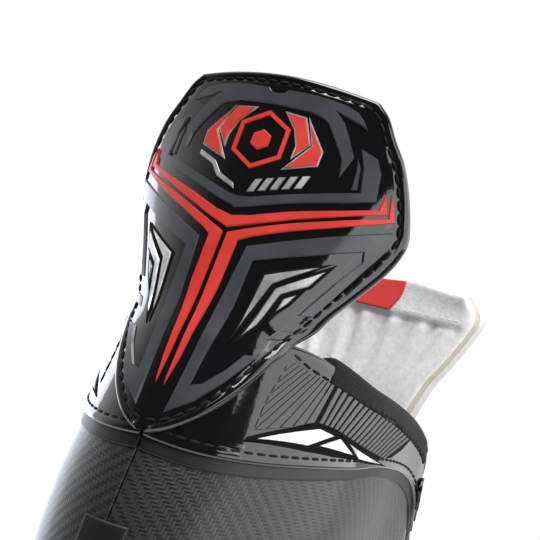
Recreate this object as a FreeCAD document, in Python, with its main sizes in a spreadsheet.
import FreeCAD, Part
import math
import os
from FreeCAD import Placement, Rotation, Vector

# Right-foot ice hockey skate, millimetres.
# +X points to the toe, +Y to the inner side of the foot, +Z up.
# The origin is on the ice, at the centre of the skate's footprint.

doc = FreeCAD.newDocument("ice_hockey_skate")

# ---------------------------------------------------------------- driving dimensions

DIMENSIONS = [
    ("quarter_thickness", 2.2),
    ("overlay_thickness", 1.2),
    ("layer_gap", 0.3),
    ("liner_thickness", 4.0),
    ("eyestay_thickness", 1.2),
    ("binding_height", 2.6),
    ("ankle_pad_thickness", 4.5),
    ("outsole_thickness", 4.5),
    ("insole_board_thickness", 2.0),
    ("footbed_thickness", 3.6),
    ("guard_base_height", 191.5),
    ("guard_top_height", 265.1),
    ("guard_top_crown", 2.8),
    ("guard_back_x", -112.0),
    ("guard_radius", 51.75),
    ("guard_shell_thickness", 1.8),
    ("guard_core_thickness", 1.2),
    ("guard_pad_thickness", 6.0),
    ("shield_thickness", 1.4),
    ("shield_foot_height", 157.5),
    ("tongue_thickness", 8.0),
    ("tongue_facing_thickness", 1.2),
    ("tongue_base_height", 177.0),
    ("tongue_top_height", 224.0),
    ("tongue_label_half_width", 17.0),
    ("eyelet_barrel_radius", 2.5),
    ("eyelet_bore_radius", 2.0),
    ("eyelet_flange_radius", 4.2),
    ("eyelet_flange_thickness", 0.8),
    ("eyelets_per_side", 10),
    ("runner_thickness", 3.0),
    ("runner_flat_half", 55.0),
    ("runner_seat_height", 29.8),
    ("holder_lip_height", 19.0),
    ("beam_top_height", 35.0),
    ("beam_width", 9.0),
    ("flange_thickness", 3.6),
    ("slot_width", 3.2),
    ("screw_radius", 2.0),
    ("screw_head_radius", 3.6),
    ("screw_head_height", 1.4),
    ("screw_height", 26.0),
    ("nut_across_corners", 8.0),
    ("nut_height", 2.4),
    ("rivet_radius", 2.0),
    ("rivet_head_radius", 4.0),
    ("rivet_head_height", 1.4),
    ("fastener_clearance", 0.05),
]

sheet = doc.addObject("Spreadsheet::Sheet", "Dimensions")
for row, (alias, number) in enumerate(DIMENSIONS, start=1):
    sheet.set(f"A{row}", alias)
    sheet.set(f"B{row}", str(number))
    sheet.setAlias(f"B{row}", alias)
doc.recompute()


def dim(alias):
    """A driving dimension, read from the sheet."""
    return float(sheet.get(alias))


# ---------------------------------------------------------------- curves and skins


def smooth(stations, where):
    """The value at `where` on a smooth curve through (position, value) stations."""
    places = [place for place, _ in stations]
    values = [value for _, value in stations]
    last = len(stations) - 1
    i = max(0, min(last - 1, sum(1 for place in places if place <= where) - 1))

    def slope(k):
        low, high = max(k - 1, 0), min(k + 1, last)
        return (values[high] - values[low]) * (1.0 / (places[high] - places[low]))

    step = places[i + 1] - places[i]
    t = max(-0.3, min(1.3, (where - places[i]) / step))
    start = values[i] * (2 * t**3 - 3 * t**2 + 1) + slope(i) * (step * (t**3 - 2 * t**2 + t))
    end = values[i + 1] * (3 * t**2 - 2 * t**3) + slope(i + 1) * (step * (t**3 - t**2))
    return start + end


def steps(low, high, count):
    """`count` + 1 evenly spaced numbers from low to high."""
    return [low + (high - low) * k / count for k in range(count + 1)]


def skin_solid(outer, inner):
    """A closed solid between two grids of points of the same size."""
    faces = []
    for grid in (outer, inner):
        surface = Part.BSplineSurface()
        surface.interpolate(grid)
        faces.append(surface.toShape())
    for edge, partner in zip(faces[0].Edges, faces[1].Edges):
        turned = partner.copy()
        turned.reverse()
        straight_or_twisted = [Part.makeRuledSurface(edge, other) for other in (partner, turned)]
        faces.append(min(straight_or_twisted, key=lambda wall: wall.Area))
    shell = Part.makeShell(faces)
    shell.sewShape()
    solid = Part.makeSolid(Part.Shell(shell.Faces))
    if solid.Volume < 0:
        solid.reverse()
    return solid


# ---------------------------------------------------------------- the boot's outer form

# Level sections of the heel: height -> x of the back, half width, depth to the widest place.
HEEL_BACK = [(70, -133), (100, -139.5), (130, -136.5), (160, -127.5), (190, -117.6)]
HEEL_HALF_WIDTH = [(70, 34), (100, 40), (130, 44.5), (160, 45), (190, 42.8)]
HEEL_DEPTH = [(70, 50), (100, 60), (130, 68), (160, 73), (190, 72)]
HEEL_SEAT_HEIGHT = 72.0
HEEL_RIB_ANGLES = [0, 18, 36, 54, 72, 90]
HEEL_RIB_TOPS = [187, 188, 190, 187.3, 182, 178.3]

# Ribs of the middle of the boot, from the feather edge up to the collar or the lace edge.
MIDDLE_RIBS = [
    [(-50, 34, 70.8), (-42, 39, 93), (-36, 42.5, 120), (-31, 44.3, 147), (-27, 44.5, 173.5)],
    [(-28, 34.5, 69), (-23, 39.5, 90), (-18, 42.5, 115), (-14, 44.5, 140), (-12, 44.8, 167)],
    [(-5, 35.5, 67), (-3, 41, 86), (-2, 43, 108), (-3, 44, 132), (-6, 43.6, 156)],
    [(22, 38, 65), (22, 44.5, 80), (22, 43.5, 101), (20, 39.5, 120), (17, 35, 139.5)],
    [(44, 43, 64), (44, 49, 77), (44, 47, 94), (43, 38, 110), (42, 26, 124)],
    [(62, 46.5, 64), (63, 51.5, 75), (64, 49, 90), (66, 37, 103), (68, 20, 112)],
]
TOE_LENGTHS = [76, 78, 71, 44, 10]
TOE_FRONT_HEIGHTS = [67, 79, 94, 107, 113]
TOE_RIB_ANGLES = [75, 60, 45, 30, 15, 0]
TOE_SQUARENESS = 0.87
RIB_LEVELS = [0, 0.25, 0.5, 0.75, 1]
TOE_SEAM_RIB = 11
TOE_FRONT_RIB = 17
TOE_FAR_SEAM_RIB = 2 * TOE_FRONT_RIB - TOE_SEAM_RIB


def heel_rib(angle, top):
    """A rib of the heel at an angle from the back's centre line."""
    points = []
    for level in RIB_LEVELS:
        height = HEEL_SEAT_HEIGHT + (top - HEEL_SEAT_HEIGHT) * level
        depth = smooth(HEEL_DEPTH, height)
        x = smooth(HEEL_BACK, height) + depth * (1 - math.cos(math.radians(angle)))
        y = smooth(HEEL_HALF_WIDTH, height) * math.sin(math.radians(angle))
        points.append(Vector(x, y, height))
    return points


def toe_rib(angle):
    """A rib of the toe cap: 90 is the seam at the side and 0 the front of the toe."""
    forward = math.cos(math.radians(angle)) ** TOE_SQUARENESS
    sideways = math.sin(math.radians(angle)) ** TOE_SQUARENESS
    share = math.cos(math.radians(angle)) ** 2
    points = []
    for seam, length, front_height in zip(MIDDLE_RIBS[-1], TOE_LENGTHS, TOE_FRONT_HEIGHTS):
        x = seam[0] + length * forward
        z = seam[2] * (1 - share) + front_height * share
        points.append(Vector(x, seam[1] * sideways, z))
    return points


RIBS = [heel_rib(angle, top) for angle, top in zip(HEEL_RIB_ANGLES, HEEL_RIB_TOPS)]
RIBS += [[Vector(*point) for point in rib] for rib in MIDDLE_RIBS]
RIBS += [toe_rib(angle) for angle in TOE_RIB_ANGLES]


def rib(k):
    """Rib number k, continuing as a mirror image behind the heel and past the toe."""
    if k < 0:
        return [Vector(p.x, -p.y, p.z) for p in RIBS[-k]]
    if k > TOE_FRONT_RIB:
        return [Vector(p.x, -p.y, p.z) for p in RIBS[2 * TOE_FRONT_RIB - k]]
    return RIBS[k]


def toe_bend(x):
    """Sideways shift of the toe towards the inner side of the foot."""
    return 5.0 * max(0.0, (x - 40.0) / 101.0) ** 2


def form(u, v, side):
    """A point of the outer form: u counts ribs from the heel, v goes up from the sole.

    side is -1 on the outer side of the foot and +1 on the inner side.
    """
    if u < 0:
        return form(-u, v, -side)
    if u > TOE_FAR_SEAM_RIB:
        return form(2 * TOE_FRONT_RIB - u, v, -side)
    low, high = (-2, TOE_SEAM_RIB) if u < TOE_SEAM_RIB else (TOE_SEAM_RIB, TOE_FAR_SEAM_RIB)
    first = max(low, min(math.floor(u) - 1, high - 3))
    columns = [(k, smooth(list(zip(RIB_LEVELS, rib(k))), v)) for k in range(first, first + 4)]
    point = smooth(columns, u)
    return Vector(point.x, side * point.y + toe_bend(point.x), point.z)


def outward(u, v, side):
    """The unit vector out of the form at a point."""
    d = 0.02
    along = form(u + d, v, side) - form(u - d, v, side)
    up = form(u, v + d, side) - form(u, v - d, side)
    normal = up.cross(along) * side
    return normal.normalize()


def layer(u, v, side, offset):
    """A point at a distance outside the form, or inside it where offset is negative."""
    return form(u, v, side) + outward(u, v, side) * offset


def upper_panel(side, u_range, v_low, v_high, low, high, across=None, rows=6):
    """A panel of the upper between two offsets; v_low and v_high are functions of u."""
    across = across or max(4, round(abs(u_range[1] - u_range[0]) * 2))
    grids = []
    for offset in (high, low):
        grid = []
        for u in steps(u_range[0], u_range[1], across):
            heights = steps(v_low(u), v_high(u), rows)
            thickness = offset(u) if callable(offset) else offset
            grid.append([layer(u, v, side, thickness) for v in heights])
        grids.append(grid)
    return skin_solid(grids[0], grids[1])


# ---------------------------------------------------------------- keeping the sub-parts

nodes = []


def keep(label, shape):
    """Store a shape as a sub-part of the document."""
    feature = doc.addObject("Part::Feature", label)
    feature.Shape = shape
    feature.Label = label
    feature.Placement = Placement()
    nodes.append(feature)
    return feature


def keep_object(label, item):
    """Store an object that already exists as a sub-part."""
    item.Label = label
    nodes.append(item)
    return item


def bound(kind, name, expressions, base, direction):
    """A primitive whose sizes follow the sheet, standing at base along direction."""
    item = doc.addObject(kind, name)
    for setting, expression in expressions.items():
        item.setExpression(setting, expression)
    item.Placement = Placement(base, Rotation(Vector(0, 0, 1), direction))
    return item


def cylinder(name, radius, height, base, direction):
    """A cylinder whose radius and height are expressions of the sheet."""
    return bound("Part::Cylinder", name, {"Radius": radius, "Height": height}, base, direction)


def joined(name, items):
    """One solid fused from several objects."""
    fused = doc.addObject("Part::MultiFuse", name)
    fused.Shapes = items
    fused.Refine = True
    return fused


def keep_group(label, items):
    """Several separate solids stored as one sub-part."""
    group = doc.addObject("Part::Compound", label)
    group.Links = items
    return keep_object(label, group)


SIDES = [("right", -1), ("left", 1)]

# ---------------------------------------------------------------- quarters and toe cap

SEAM_GAP_U = 0.012
EYELET_LEVEL = 0.93
EYELET_FIRST_U = 7.75
EYELET_LAST_U = 10.6


def level(value):
    """A panel edge that stays at one level of the ribs."""
    return lambda u: value


def eyelet_places(side):
    """Centre and outward direction of each eyelet on one side."""
    places = []
    for u in steps(EYELET_FIRST_U, EYELET_LAST_U, int(dim("eyelets_per_side")) - 1):
        places.append((form(u, EYELET_LEVEL, side), outward(u, EYELET_LEVEL, side)))
    return places


def eyelet_holes(side):
    """Cylinders that open the lace holes through the layers of one side."""
    radius = dim("eyelet_barrel_radius") + dim("fastener_clearance")
    reach = 6.0
    return [
        Part.makeCylinder(radius, 2 * reach, centre - direction * reach, direction)
        for centre, direction in eyelet_places(side)
    ]


def build_quarters():
    """The two composite shells that meet behind the heel."""
    for name, side in SIDES:
        shell = upper_panel(
            side, (SEAM_GAP_U, TOE_SEAM_RIB - 0.02), level(0), level(1), -dim("quarter_thickness"), 0, 22, 8
        )
        keep(f"quarter_{name}", shell.cut(eyelet_holes(side)))


def build_toe_cap():
    """The moulded cap around the toe, and its thin lining."""
    start = TOE_SEAM_RIB + 0.02
    end = 2 * TOE_FRONT_RIB - start
    keep("toe_cap", upper_panel(-1, (start, end), level(0), level(1), -2.4, 0.4, 24, 8))
    lining = (start + 0.2, end - 0.2)
    keep("toe_lining", upper_panel(-1, lining, level(0.1), level(0.9), -6.6, -5.0, 23, 6))


# ---------------------------------------------------------------- overlays, facings, collar

OVERLAY_SEAM = [(0, 0.725), (1, 0.71), (2, 0.703), (3, 0.735), (4, 0.785), (5, 0.825), (6.5, 0.85), (8, 0.83)]
OVERLAY_FRONT_U = 8.0
OVERLAY_GAP = 0.3


def overlay_seam(u):
    """Level of the seam between the glossy overlay and the textured quarter."""
    return smooth(OVERLAY_SEAM, u)


def build_overlays():
    """Glossy overlays round the ankle, up to the collar."""
    low = OVERLAY_GAP
    high = low + dim("overlay_thickness")
    for name, side in SIDES:
        u_range = (SEAM_GAP_U, OVERLAY_FRONT_U - 0.03)
        panel = upper_panel(side, u_range, overlay_seam, level(0.995), low, high, 16, 6)
        keep(f"ankle_overlay_{name}", panel.cut(eyelet_holes(side)))


def build_eyestays():
    """Facings that carry the lace holes."""
    low = OVERLAY_GAP
    high = low + dim("eyestay_thickness")
    for name, side in SIDES:
        panel = upper_panel(side, (OVERLAY_FRONT_U + 0.03, 10.95), level(0.84), level(0.995), low, high, 10, 4)
        keep(f"eyestay_{name}", panel.cut(eyelet_holes(side)))


def build_collar_bindings():
    """Rolled binding along the top of the collar, from the notch to the first eyelet."""
    outer_offset = 0.9
    inner_offset = -5.6
    foot = 1.008
    for name, side in SIDES:
        grids = []
        for offset in (outer_offset, inner_offset):
            grid = []
            for u in steps(2.8, 7.0, 12):
                base = layer(u, foot, side, offset)
                rise = (form(u, 1.0, side) - form(u, 0.98, side)).normalize() * dim("binding_height")
                grid.append([base, base + rise * 0.5, base + rise])
            grids.append(grid)
        keep(f"collar_binding_{name}", skin_solid(grids[0], grids[1]))


def build_heel_strip():
    """Strip that covers the rear seam between the quarters."""
    half = 0.5
    panel = upper_panel(-1, (-half, half), level(0.04), level(0.52), OVERLAY_GAP, 1.3, 6, 6)
    keep("heel_strip", panel)


def build_eyelets():
    """Pressed eyelets: a barrel through the layers and a flange on the facing."""
    sizes = "Dimensions."
    proud = 0.1
    low = -dim("quarter_thickness") - proud
    high = OVERLAY_GAP + dim("eyestay_thickness") + proud
    barrel_slack = OVERLAY_GAP + 2 * proud
    barrel_height = f"{sizes}quarter_thickness + {sizes}eyestay_thickness + {barrel_slack}"
    for name, side in SIDES:
        eyelets = []
        for k, (centre, direction) in enumerate(eyelet_places(side)):
            tag = f"{name}_{k}"
            foot = centre + direction * low
            top = centre + direction * high
            barrel = cylinder(f"barrel_{tag}", f"{sizes}eyelet_barrel_radius", barrel_height, foot, direction)
            flange_sizes = (f"{sizes}eyelet_flange_radius", f"{sizes}eyelet_flange_thickness")
            flange = cylinder(f"flange_{tag}", *flange_sizes, top, direction)
            bore_foot = centre - direction * 6
            bore = cylinder(f"bore_{tag}", f"{sizes}eyelet_bore_radius", "12", bore_foot, direction)
            eyelet = doc.addObject("Part::Cut", f"eyelet_{tag}")
            eyelet.Base = joined(f"eyelet_blank_{tag}", [barrel, flange])
            eyelet.Tool = bore
            eyelets.append(eyelet)
        keep_group(f"eyelets_{name}", eyelets)


# ---------------------------------------------------------------- lining and ankle pads

LINER_TOP = [(0, 0.985), (5, 0.985), (6, 0.95), (6.7, 0.86), (7.2, 0.82), (8, 0.8), (11, 0.78)]


def build_liners():
    """Foam and lining inside the quarters, thickened by a pad over each ankle bone."""
    outer = -dim("quarter_thickness") - 2 * dim("layer_gap")
    inner = outer - dim("liner_thickness")
    for name, side in SIDES:
        liner = upper_panel(
            side, (0.03, 10.9), level(0.06), lambda u: smooth(LINER_TOP, u), inner, outer, 22, 8
        )
        keep(f"liner_{name}", liner)
        keep(f"ankle_pad_{name}", ankle_pad(side, inner - 2 * dim("layer_gap")))


def ankle_pad(side, face):
    """A cushion that swells towards its middle and thins out at its edge."""
    u_range = (3.2, 6.0)
    v_range = (0.45, 0.86)
    edge_thickness = 1.0
    outer, inner = [], []
    for u in steps(u_range[0], u_range[1], 8):
        outer_row, inner_row = [], []
        for v in steps(v_range[0], v_range[1], 6):
            across = math.sin(math.pi * (u - u_range[0]) / (u_range[1] - u_range[0]))
            upward = math.sin(math.pi * (v - v_range[0]) / (v_range[1] - v_range[0]))
            swell = edge_thickness + dim("ankle_pad_thickness") * across * upward
            outer_row.append(layer(u, v, side, face))
            inner_row.append(layer(u, v, side, face - swell))
        outer.append(outer_row)
        inner.append(inner_row)
    return skin_solid(outer, inner)


# ---------------------------------------------------------------- tendon guard

GUARD_HALF_WIDTH = [
    (190.5, 29.1), (199.2, 32.9), (207.7, 37.9), (217.7, 43.5), (224.9, 46.2), (229.7, 46.5),
    (239.4, 44.7), (248.9, 41.3), (255.4, 37.3), (261.5, 33.8), (265.1, 30.2), (268.5, 27.0),
]
SHIELD_HALF_ANGLE = [
    (157.5, 5), (158.5, 8.3), (160.9, 12.4), (165.1, 18.8),
    (170.3, 24.6), (177, 30), (184.4, 35.5), (189.4, 38),
]


def guard_point(across, height, depth):
    """A point of the guard: across goes from -1 to 1 and depth is towards the leg."""
    t = (height - 220.0) / 50.0
    back = dim("guard_back_x") + 12.0 * t - 1.04 * t * t
    radius = dim("guard_radius") + 37.6 * t + 4.56 * t * t
    angle = math.asin(min(1.0, smooth(GUARD_HALF_WIDTH, height) / radius)) * across
    reach = radius - depth
    return Vector(back + depth + reach * (1 - math.cos(angle)), -reach * math.sin(angle), height)


def guard_layer(outer_depth, inner_depth, trim):
    """One layer of the guard between two depths, cut back from the rim by trim."""
    grids = []
    base = dim("guard_base_height")
    for depth in (outer_depth, inner_depth):
        grid = []
        for across in steps(-1 + trim / 45.0, 1 - trim / 45.0, 14):
            top = dim("guard_top_height") + dim("guard_top_crown") * (1 - across**2) - trim
            grid.append([guard_point(across, height, depth) for height in steps(base, top, 14)])
        grids.append(grid)
    return skin_solid(grids[0], grids[1])


def build_guard():
    """The flexing guard above the heel: moulded shell, stiff core and padded lining."""
    shell = dim("guard_shell_thickness")
    core = shell + 0.2 + dim("guard_core_thickness")
    keep("guard_shell", guard_layer(0, shell, 0))
    keep("guard_core", guard_layer(shell + 0.2, core, 5))
    keep("guard_pad", guard_layer(core + 0.3, core + 0.3 + dim("guard_pad_thickness"), 1.5))


def build_shield():
    """The fixed lower part of the guard's moulding, stitched over the overlays."""
    low = OVERLAY_GAP + dim("overlay_thickness") + 0.2
    high = low + dim("shield_thickness")
    grids = []
    for offset in (high, low):
        grid = []
        for share in steps(-1, 1, 10):
            row = []
            for height in steps(dim("shield_foot_height"), 189.6, 10):
                u = share * smooth(SHIELD_HALF_ANGLE, height) / 18.0
                top = smooth(list(zip([0, 1, 2, 3], HEEL_RIB_TOPS)), abs(u))
                v = (height - HEEL_SEAT_HEIGHT) / (top - HEEL_SEAT_HEIGHT)
                row.append(layer(u, v, -1, offset))
            grid.append(row)
        grids.append(grid)
    keep("guard_shield", skin_solid(grids[0], grids[1]))


# ---------------------------------------------------------------- tongue

TONGUE_CENTRE_X = [(165, 3), (180, 6), (200, 11), (224, 16)]
TONGUE_HALF_WIDTH = [
    (165, 36), (172, 38), (182, 40.5), (189, 42.5), (195, 45.5), (208, 51), (214, 52.5), (219, 50.5), (225, 44),
]
TONGUE_WRAP = 15.0
THROAT_CROWN = [(7.3, 15), (8, 14), (9, 10), (10, 7), (10.9, 5)]
THROAT_LEAN = [(7.3, 32), (8, 45), (9, 56), (10.9, 60)]


def tongue_point(across, height, depth):
    """A point of the free part of the tongue; depth goes back towards the leg."""
    half = smooth(TONGUE_HALF_WIDTH, height)
    x = smooth(TONGUE_CENTRE_X, height) - TONGUE_WRAP * across**2
    turn = math.atan2(2 * TONGUE_WRAP * across, half)
    return Vector(x - depth * math.cos(turn), half * across - depth * math.sin(turn), height)


def tongue_layer(outer_depth, inner_depth, reach, base_lift, top_drop):
    """A layer of the free part of the tongue, spanning reach of its half width."""
    grids = []
    for depth in (outer_depth, inner_depth):
        grid = []
        for across in steps(-reach, reach, 12):
            base = dim("tongue_base_height") - 7.0 * across**2 + base_lift
            top = dim("tongue_top_height") - 1.5 * across**4 - top_drop
            grid.append([tongue_point(across, height, depth) for height in steps(base, top, 8)])
        grids.append(grid)
    return skin_solid(grids[0], grids[1])


def build_tongue_top():
    """The felt top that folds at the ankle, its outer covering and the label over its edge."""
    facing = dim("tongue_facing_thickness")
    thickness = dim("tongue_thickness")
    keep("tongue_facing", tongue_layer(0, facing, 1.0, 0, 0.3))
    keep("tongue_top", tongue_layer(facing + 0.2, thickness, 1.0, 0, 0.3))
    label_reach = dim("tongue_label_half_width") / 47.0
    keep("tongue_label", tongue_layer(thickness + 0.2, thickness + 0.9, label_reach, 34.0, 1.0))


def throat_rib(u, offset):
    """Points across the tongue under the facings, from wing to wing."""
    wing_level = 0.87
    clearance = dim("quarter_thickness") + 3.0
    points = []
    for side, level_here in ((-1, wing_level), (-1, 0.985)):
        points.append(layer(u, level_here, side, -clearance - offset))
    edge = layer(u, 1.0, -1, 0)
    lean = math.radians(smooth(THROAT_LEAN, u))
    rise = smooth(THROAT_CROWN, u) - offset
    middle_y = 0.5 * (layer(u, 1.0, 1, 0).y + edge.y)
    points.append(Vector(edge.x + rise * math.cos(lean), middle_y, edge.z - 1.0 + rise * math.sin(lean)))
    for side, level_here in ((1, 0.985), (1, wing_level)):
        points.append(layer(u, level_here, side, -clearance - offset))
    return points


def build_tongue_lower():
    """The part of the tongue that lies under the facings, down to the toe cap."""
    grids = []
    for offset in (0.0, 5.5):
        rows = []
        for u in steps(7.35, 10.85, 8):
            stations = list(zip(range(5), throat_rib(u, offset)))
            rows.append([smooth(stations, place) for place in steps(0, 4, 12)])
        grids.append(rows)
    keep("tongue_lower", skin_solid(grids[0], grids[1]))


# ---------------------------------------------------------------- sole

SOLE_PROFILE = [(-150, 72), (-84, 72), (-50, 70.8), (-28, 69), (-5, 67), (22, 65), (44, 64), (62, 64),
                (100, 64.6), (150, 67.2)]


def sole_height(x):
    """Height of the feather edge, where the upper meets the outsole."""
    return smooth(SOLE_PROFILE, x)


def sole_prism(inset):
    """A tall prism with the outline of the sole, inset from the feather edge."""
    points = []
    for u in steps(0, 2 * TOE_FRONT_RIB, 2 * TOE_FRONT_RIB)[:-1]:
        here = form(u, 0, -1)
        along = form(u + 0.1, 0, -1) - form(u - 0.1, 0, -1)
        out = Vector(along.y, -along.x, 0).normalize()
        points.append(Vector(here.x, here.y, 0) - out * inset)
    outline = Part.BSplineCurve()
    outline.interpolate(Points=points, PeriodicFlag=True)
    return Part.Face(Part.Wire(outline.toShape())).extrude(Vector(0, 0, 120))


def sole_slab(low, high, x_low=-160.0, x_high=160.0):
    """A slab between two distances above the feather line, as a tall side profile."""
    stations = steps(x_low, x_high, 16)
    upper = Part.BSplineCurve()
    upper.interpolate([Vector(x, -70, sole_height(x) + high) for x in stations])
    lower = Part.BSplineCurve()
    lower.interpolate([Vector(x, -70, sole_height(x) + low) for x in stations])
    ends = [
        Part.makeLine(upper.EndPoint, lower.EndPoint),
        Part.makeLine(lower.StartPoint, upper.StartPoint),
    ]
    wire = Part.Wire(Part.__sortEdges__([upper.toShape(), lower.toShape()] + ends))
    return Part.Face(wire).extrude(Vector(0, 140, 0))


RIVETS_FRONT = [(24, 27), (50, 33), (78, 34), (102, 27)]
RIVETS_REAR = [(-117, 17), (-92, 22), (-62, 23)]


def rivet_points(pairs):
    """Both members of each pair of rivets, following the bend of the toe."""
    points = []
    for x, y in pairs:
        points += [(x, toe_bend(x) - y), (x, toe_bend(x) + y)]
    return points


def rivet_holes():
    """Cylinders through the flange, the outsole and the insole board."""
    radius = dim("rivet_radius") + dim("fastener_clearance")
    places = rivet_points(RIVETS_FRONT + RIVETS_REAR)
    return [Part.makeCylinder(radius, 60, Vector(x, y, 40)) for x, y in places]


def build_sole():
    """Outsole, insole board and footbed."""
    thickness = dim("outsole_thickness")
    gap = dim("layer_gap")
    outsole = sole_prism(-1.2).common(sole_slab(-gap - thickness, -gap))
    keep("outsole", outsole.cut(rivet_holes()))
    board = dim("insole_board_thickness")
    insole = sole_prism(3.4).common(sole_slab(0, board))
    keep("insole_board", insole.cut(rivet_holes()))
    footbed_low = board + 1.6
    footbed = sole_prism(7.8).common(sole_slab(footbed_low, footbed_low + dim("footbed_thickness")))
    keep("footbed", footbed)


def build_rivets():
    """Rivets that fasten the holder's flanges to the boot."""
    sizes = "Dimensions."
    slack = 0.5
    underside = -dim("layer_gap") * 2 - dim("outsole_thickness") - dim("flange_thickness")
    head_low = underside - dim("rivet_head_height") - slack
    clinch_low = dim("insole_board_thickness") + 0.4
    up = Vector(0, 0, 1)
    for name, pairs in (("rivets_front", RIVETS_FRONT), ("rivets_rear", RIVETS_REAR)):
        rivets = []
        for k, (x, y) in enumerate(rivet_points(pairs)):
            foot = Vector(x, y, sole_height(x) + head_low)
            top = Vector(x, y, sole_height(x) + clinch_low)
            tag = f"{name}_{k}"
            stem = cylinder(f"stem_{tag}", f"{sizes}rivet_radius", str(clinch_low - head_low), foot, up)
            head_sizes = (f"{sizes}rivet_head_radius", f"{sizes}rivet_head_height")
            head = cylinder(f"head_{tag}", *head_sizes, foot, up)
            clinch = cylinder(f"clinch_{tag}", f"{sizes}rivet_radius * 1.5", "0.8", top, up)
            rivets.append(joined(f"rivet_{tag}", [stem, head, clinch]))
        keep_group(name, rivets)


# ---------------------------------------------------------------- blade holder

REAR_PEDESTAL = {"low": (-124, -72, 9.0), "middle": (-120, -72, 14.0), "high": (-118, -70, 30.0)}
FRONT_PEDESTAL = {"low": (2, 112, 9.0), "middle": (8, 110, 16.0), "high": (14, 108, 42.0)}
SCREW_STATIONS = [-96, -4, 88]


def rounded_section(x_low, x_high, width, height):
    """A horizontal section with rounded corners."""
    radius = min(width, x_high - x_low) * 0.35
    half = width / 2
    right, left = -half, half
    corners = [(x_low, right), (x_high, right), (x_high, left), (x_low, left)]
    edges = []
    for k in range(4):
        here = Vector(corners[k][0], corners[k][1], height)
        after = Vector(corners[(k + 1) % 4][0], corners[(k + 1) % 4][1], height)
        before = Vector(corners[k - 1][0], corners[k - 1][1], height)
        out = (after - here).normalize()
        back = (before - here).normalize()
        start = here + back * radius
        end = here + out * radius
        middle = here + (out + back) * (radius * (1 - math.sqrt(0.5)))
        following = after - out * radius
        edges.append(Part.Arc(start, middle, end).toShape())
        edges.append(Part.makeLine(end, following))
    return Part.Wire(edges)


def pedestal(sections, top_height):
    """A pillar that widens from the beam up to the flange."""
    low_height = dim("beam_top_height") - 6
    middle_height = low_height + (top_height - low_height) * 0.55
    heights = (low_height, middle_height, top_height)
    wires = [
        rounded_section(*sections[key], height) for key, height in zip(("low", "middle", "high"), heights)
    ]
    return Part.makeLoft(wires, True, False)


def holder_beam():
    """The long beam that grips the runner, with a raised nose and heel."""
    lip, top = dim("holder_lip_height"), dim("beam_top_height")
    side = -dim("beam_width") / 2
    outline = [(-131, 25), (-124, lip), (112, lip), (131, 26), (129, 33), (113, top), (-120, top), (-129, 32)]
    profile = doc.addObject("Part::Feature", "beam_profile")
    profile.Shape = Part.makePolygon([Vector(x, side, z) for x, z in outline + outline[:1]])
    beam = doc.addObject("Part::Extrusion", "holder_beam")
    beam.Base = profile
    beam.DirMode = "Custom"
    beam.Dir = Vector(0, 1, 0)
    beam.Solid = True
    beam.setExpression("LengthFwd", "Dimensions.beam_width")
    return beam


def build_holder():
    """Moulded holder: beam, two pedestals and their flanges, less the slot and the holes."""
    underside = -dim("layer_gap") * 2 - dim("outsole_thickness")
    flange = sole_prism(6.0).common(sole_slab(underside - dim("flange_thickness"), underside))
    waist = Part.makeBox(58, 120, 60, Vector(-50, -60, 30))
    tip = Part.makeBox(60, 120, 60, Vector(112, -60, 30))
    room = sole_slab(underside, underside + 40)
    pieces = [
        ("holder_flanges", flange.cut([waist, tip])),
        ("rear_pedestal", pedestal(REAR_PEDESTAL, 66.5).cut(room)),
        ("front_pedestal", pedestal(FRONT_PEDESTAL, 60).cut(room)),
    ]
    blanks = [holder_beam()]
    for name, shape in pieces:
        blank = doc.addObject("Part::Feature", name)
        blank.Shape = shape
        blanks.append(blank)
    slot = doc.addObject("Part::Box", "runner_slot")
    slot.setExpression("Length", "300")
    slot.setExpression("Width", "Dimensions.slot_width")
    slot.setExpression("Height", "Dimensions.runner_seat_height - 9.8")
    slot.Placement = Placement(Vector(-150, -dim("slot_width") / 2, 10), Rotation())
    holes = doc.addObject("Part::Feature", "holder_holes")
    holes.Shape = Part.makeCompound(rivet_holes() + screw_holes())
    tools = doc.addObject("Part::Compound", "holder_cuts")
    tools.Links = [slot, holes]
    holder = doc.addObject("Part::Cut", "holder")
    holder.Base = joined("holder_blank", blanks)
    holder.Tool = tools
    keep_object("holder", holder)


def screw_holes():
    """Cross holes through the beam and the runner."""
    radius = dim("screw_radius") + dim("fastener_clearance")
    return [
        Part.makeCylinder(radius, 40, Vector(x, -20, dim("screw_height")), Vector(0, 1, 0))
        for x in SCREW_STATIONS
    ]


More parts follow.
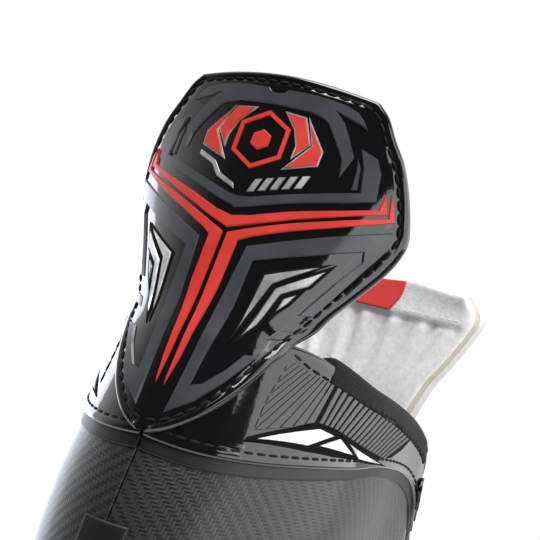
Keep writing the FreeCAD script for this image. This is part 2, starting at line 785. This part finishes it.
def build_runner():
    """Steel runner: a profile padded to its thickness, with three cross holes."""
    body = doc.addObject("PartDesign::Body", "runner")
    plane = next(item for item in body.Origin.OriginFeatures if item.Role == "XZ_Plane")
    sketch = body.newObject("Sketcher::SketchObject", "runner_profile")
    sketch.AttachmentSupport = [(plane, "")]
    sketch.MapMode = "FlatFace"
    flat = dim("runner_flat_half")
    seat = dim("runner_seat_height")
    heel, nose = (-128, 4.5), (136, 13)
    corners = [heel, (-136, 11), (-132, 20), (-124, seat), (120, seat), (133, 22), (139, 18), nose]
    for tip_x, tip_z in (heel, nose):
        start_x = math.copysign(flat, tip_x)
        run = tip_x - start_x
        radius = (run**2 + tip_z**2) / (2 * tip_z)
        half_x = run * 0.6
        half_z = radius - math.sqrt(radius**2 - half_x**2)
        middle = Vector(start_x + half_x, half_z, 0)
        sketch.addGeometry(Part.Arc(Vector(start_x, 0, 0), middle, Vector(tip_x, tip_z, 0)))
    for start, end in zip(corners, corners[1:]):
        sketch.addGeometry(Part.LineSegment(Vector(*start, 0), Vector(*end, 0)))
    sketch.addGeometry(Part.LineSegment(Vector(flat, 0, 0), Vector(-flat, 0, 0)))
    for x in SCREW_STATIONS:
        centre = Vector(x, dim("screw_height"), 0)
        sketch.addGeometry(Part.Circle(centre, Vector(0, 0, 1), dim("screw_radius") + 0.05))
    pad = body.newObject("PartDesign::Pad", "runner_pad")
    pad.Profile = sketch
    pad.setExpression("Length", "Dimensions.runner_thickness")
    pad.Midplane = True
    keep_object("runner", body)


def build_screws():
    """Cross screws with low round heads, and hexagon nuts on their far ends."""
    sizes = "Dimensions."
    head_gap = 0.1
    across = Vector(0, 1, 0)
    half = dim("beam_width") / 2
    stem_height = f"{sizes}beam_width + {sizes}screw_head_height + {sizes}nut_height + {2 * head_gap}"
    screws, nuts = [], []
    for k, x in enumerate(SCREW_STATIONS):
        centre = Vector(x, 0, dim("screw_height"))
        start = centre - across * (half + head_gap + dim("screw_head_height"))
        stem = cylinder(f"screw_stem_{k}", f"{sizes}screw_radius", stem_height, start, across)
        head_sizes = (f"{sizes}screw_head_radius", f"{sizes}screw_head_height")
        head = cylinder(f"screw_head_{k}", *head_sizes, start, across)
        screws.append(joined(f"screw_{k}", [stem, head]))
        seat = centre + across * (half + head_gap)
        nut_sizes = {"Circumradius": f"{sizes}nut_across_corners / 2", "Height": f"{sizes}nut_height"}
        blank = bound("Part::Prism", f"nut_blank_{k}", nut_sizes, seat, across)
        clearance = f"{sizes}screw_radius + {sizes}fastener_clearance"
        nut = doc.addObject("Part::Cut", f"nut_{k}")
        nut.Base = blank
        nut.Tool = cylinder(f"nut_bore_{k}", clearance, "30", centre, across)
        nuts.append(nut)
    keep_group("runner_screws", screws)
    keep_group("runner_nuts", nuts)


# ---------------------------------------------------------------- build, test and write

build_quarters()
build_toe_cap()
build_overlays()
build_eyestays()
build_collar_bindings()
build_heel_strip()
build_eyelets()
build_liners()
build_guard()
build_shield()
build_tongue_top()
build_tongue_lower()
build_sole()
build_rivets()
build_holder()
build_runner()
build_screws()
doc.recompute()

for item in doc.Objects:
    if "Invalid" in item.State or "Error" in item.State:
        raise RuntimeError(f"{item.Name} did not recompute")
for item in nodes:
    if item.Shape.isNull() or not item.Shape.isValid():
        raise RuntimeError(f"{item.Label} has no valid shape")

os.makedirs("parts", exist_ok=True)
for item in nodes:
    item.Shape.exportStep(f"parts/{item.Label}.step")
    box = item.Shape.BoundBox
    extents = ((box.XMin, box.XMax), (box.YMin, box.YMax), (box.ZMin, box.ZMax))
    spans = "  ".join(f"{low:7.1f} {high:7.1f}" for low, high in extents)
    print(f"{item.Label:24s} {item.Shape.Volume / 1000:8.2f} cm3  {spans}")
